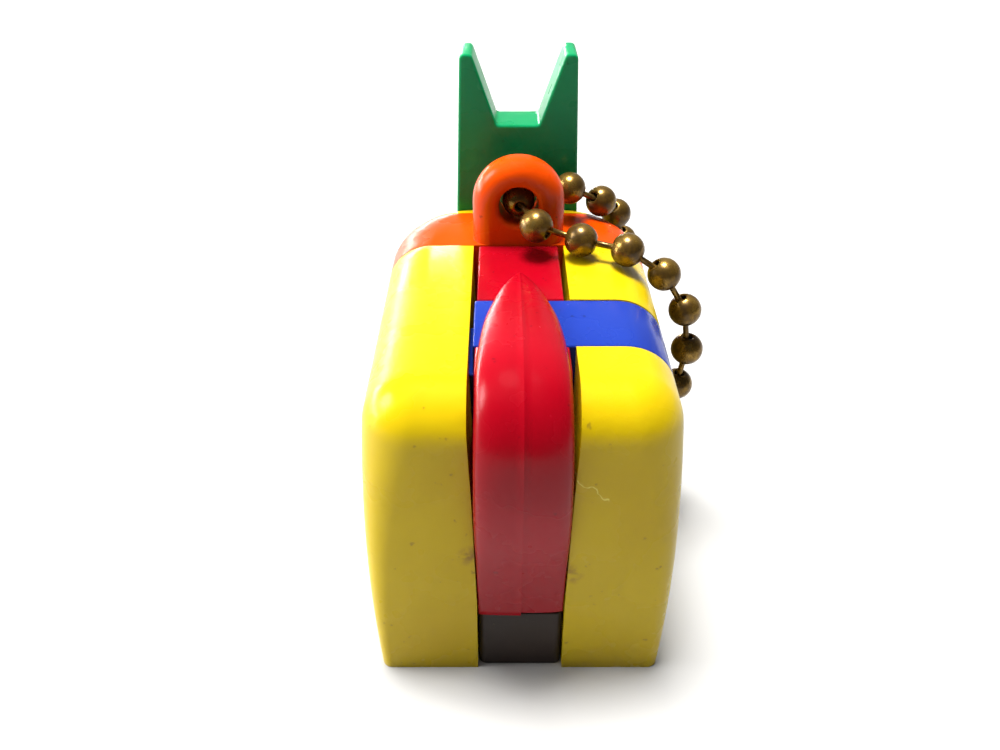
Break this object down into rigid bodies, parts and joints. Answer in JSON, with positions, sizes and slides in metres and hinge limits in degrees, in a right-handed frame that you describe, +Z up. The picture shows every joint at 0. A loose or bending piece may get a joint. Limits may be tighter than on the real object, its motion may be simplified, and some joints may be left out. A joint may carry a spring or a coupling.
{
  "type": "puzzle keychain",
  "caption": "Interlocking plastic puzzle block with a sliding key bar, a two-eared end plate and a ball chain through its eyelet.",
  "frame": {"origin": "middle of the puzzle's box at the level that it stands on, without the chain", "axes": "+Z up, -Y the way the rounded nose points, +X the way the key bar slides out"},
  "size_m": [0.0246, 0.0427, 0.0343],
  "materials": {
    "yellow_plastic": "glossy opaque yellow, a few scuffs",
    "red_plastic": "glossy opaque red with a fine parting line",
    "blue_plastic": "glossy opaque royal blue",
    "orange_plastic": "glossy opaque orange",
    "green_plastic": "glossy opaque green",
    "black_plastic": "dull black",
    "chain_metal": "aged plated brass, worn and darkened"
  },
  "bodies": {
    "puzzle": {"left_block": "yellow_plastic", "right_block": "yellow_plastic", "centre_plate": "red_plastic", "loop_bar": "orange_plastic", "ear_plate": "green_plastic", "lower_bar": "black_plastic"},
    "key": {"key_bar": "blue_plastic"},
    "chain": {"chain_ball_01": "chain_metal", "chain_ball_02": "chain_metal", "chain_ball_03": "chain_metal", "chain_ball_04": "chain_metal", "chain_ball_05": "chain_metal", "chain_ball_06": "chain_metal", "chain_ball_07": "chain_metal", "chain_ball_08": "chain_metal", "chain_ball_09": "chain_metal", "chain_ball_10": "chain_metal", "chain_ball_11": "chain_metal", "chain_ball_12": "chain_metal", "chain_ball_13": "chain_metal", "chain_ball_14": "chain_metal", "chain_ball_15": "chain_metal", "chain_ball_16": "chain_metal", "chain_ball_17": "chain_metal", "chain_ball_18": "chain_metal", "chain_ball_19": "chain_metal", "chain_ball_20": "chain_metal", "chain_ball_21": "chain_metal", "chain_ball_22": "chain_metal", "chain_ball_23": "chain_metal", "chain_ball_24": "chain_metal", "chain_ball_25": "chain_metal", "chain_ball_26": "chain_metal", "chain_ball_27": "chain_metal", "chain_ball_28": "chain_metal", "chain_ball_29": "chain_metal", "chain_ball_30": "chain_metal", "chain_pins": "chain_metal", "chain_connector": "chain_metal"}
  },
  "joints": [
    {"name": "key_slide", "type": "slide", "parent": "puzzle", "child": "key", "axis": [1, 0, 0], "range_m": [0, 0.0168]},
    {"name": "chain_swing", "type": "hinge", "parent": "puzzle", "child": "chain", "pos_m": [0, 0.00747, 0.02515], "axis": [0, -1, 0], "range_deg": [0, 60]}
  ]
}
